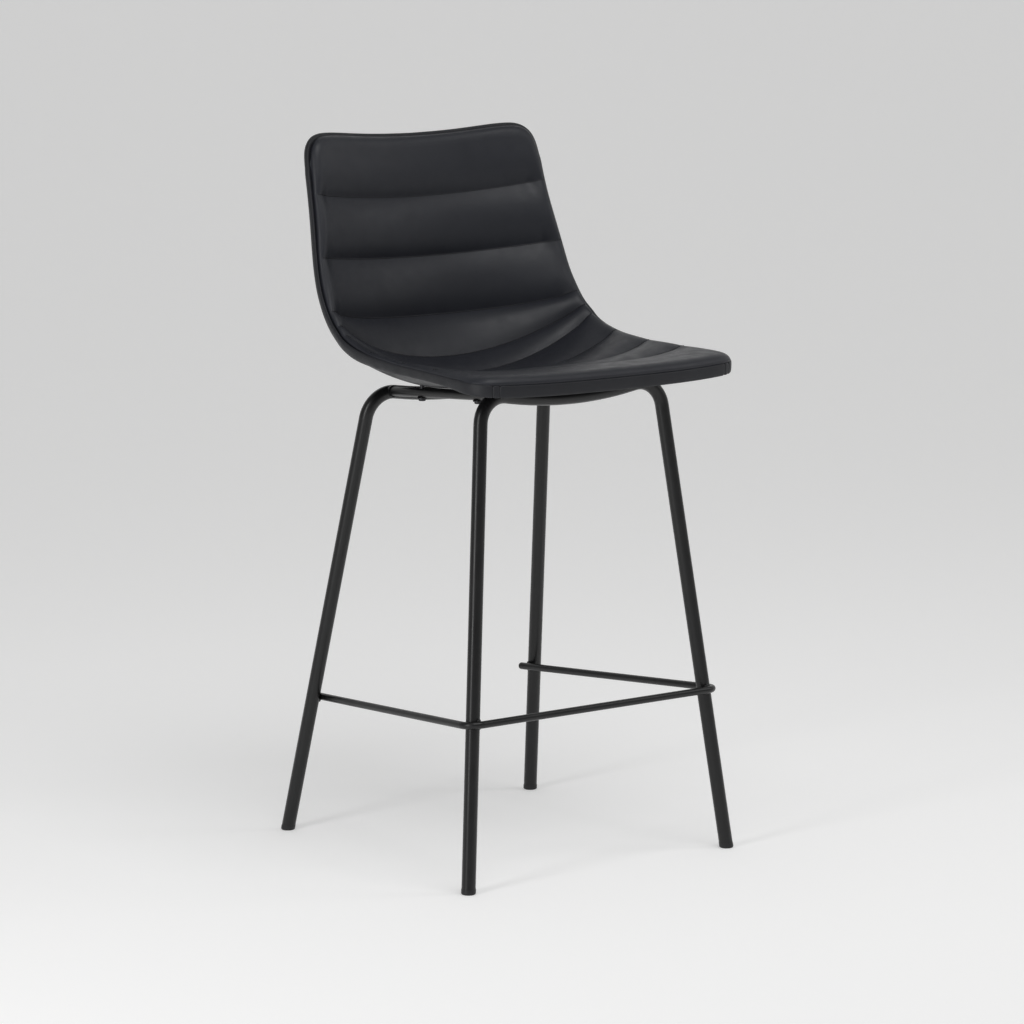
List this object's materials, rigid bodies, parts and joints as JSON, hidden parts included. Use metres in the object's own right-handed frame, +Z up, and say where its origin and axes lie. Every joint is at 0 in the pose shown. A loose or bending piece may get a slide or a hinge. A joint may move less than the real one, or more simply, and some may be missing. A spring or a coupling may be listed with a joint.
{
  "type": "upholstered bar stool with footrest",
  "caption": "Counter-height bar stool: one dished upholstered seat and low back, channel quilted in front, on a black bent tube frame with a round rod footrest.",
  "frame": {"origin": "on the floor, under the middle of the overall box", "axes": "+Z up, the stool faces -Y, mirror symmetric about the YZ plane"},
  "size_m": [0.4586, 0.4963, 0.9744],
  "materials": {
    "frame_black": "satin black powder coat on steel tube",
    "glide_black": "moulded black plastic",
    "shell_plastic": "moulded plastic seat shell, hidden",
    "foam": "polyurethane foam, hidden",
    "quilted_leather": "black artificial leather, fine grain, sewn channels",
    "plain_leather": "black artificial leather, fine grain",
    "fastener": "dark zinc plated steel"
  },
  "bodies": {
    "root": {"front_leg_frame": "frame_black", "rear_leg_frame": "frame_black", "left_side_rail": "frame_black", "right_side_rail": "frame_black", "footrest_rod": "frame_black", "footrest_welds": "frame_black", "rail_welds": "frame_black", "front_left_glide": "glide_black", "front_right_glide": "glide_black", "rear_left_glide": "glide_black", "rear_right_glide": "glide_black", "seat_shell": "shell_plastic", "seat_foam": "foam", "back_rest_foam": "foam", "back_foam": "foam", "front_cover": "quilted_leather", "back_cover": "plain_leather", "side_border": "plain_leather", "front_border": "plain_leather", "left_corner_patch": "plain_leather", "right_corner_patch": "plain_leather", "seat_bolts": "fastener", "bolt_washers": "fastener", "tee_nuts": "fastener"}
  },
  "joints": []
}
